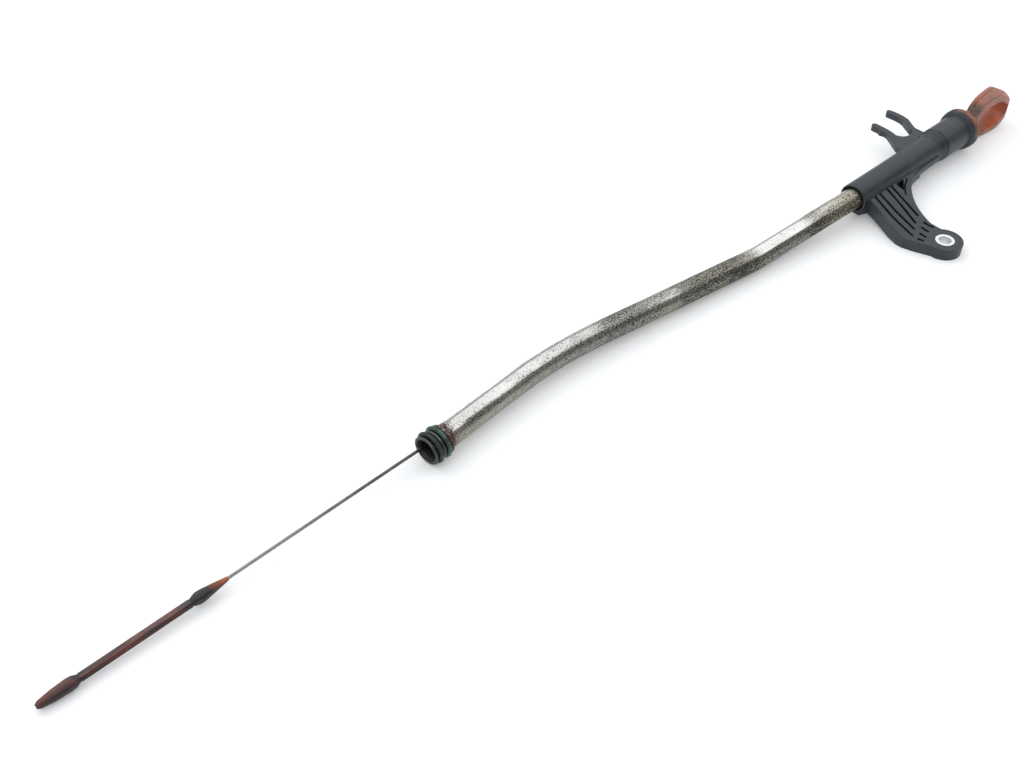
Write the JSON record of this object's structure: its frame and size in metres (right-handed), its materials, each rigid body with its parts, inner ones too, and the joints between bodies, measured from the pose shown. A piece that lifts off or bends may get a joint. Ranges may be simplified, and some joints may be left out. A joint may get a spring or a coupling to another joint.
{
  "type": "engine oil dipstick and tube",
  "caption": "Engine oil dipstick in its bent steel guide tube: plastic head with bracket and cable clip, finger-loop handle, steel cable and moulded gauge tip.",
  "frame": {"origin": "centre of the bracket's bolt hole, on the bracket face that rests on the surface", "axes": "+X along the head towards the handle, +Z along the bolt hole upwards, +Y from the bolt hole towards the head"},
  "size_m": [0.6249, 0.1011, 0.024],
  "materials": {
    "tube_steel": "dull zinc plate with dark corrosion",
    "ring_green": "satin",
    "ring_dark_green": "dirty satin",
    "head_plastic": "moulded satin",
    "bush_steel": "bright plate",
    "handle_plastic": "dirty satin",
    "seal_rubber": "satin",
    "cable_steel": "oiled",
    "gauge_plastic": "oil stained"
  },
  "bodies": {
    "guide": {"guide_tube": "tube_steel", "rear_o_ring": "ring_green", "front_o_ring": "ring_dark_green", "tube_head": "head_plastic", "bracket_bush": "bush_steel"},
    "dipstick": {"handle": "handle_plastic", "handle_seal": "seal_rubber", "cable": "cable_steel", "gauge_tip": "gauge_plastic"}
  },
  "joints": [
    {"name": "dipstick_pull", "type": "slide", "parent": "guide", "child": "dipstick", "axis": [1, 0, 0], "range_m": [0, 0.025]}
  ]
}
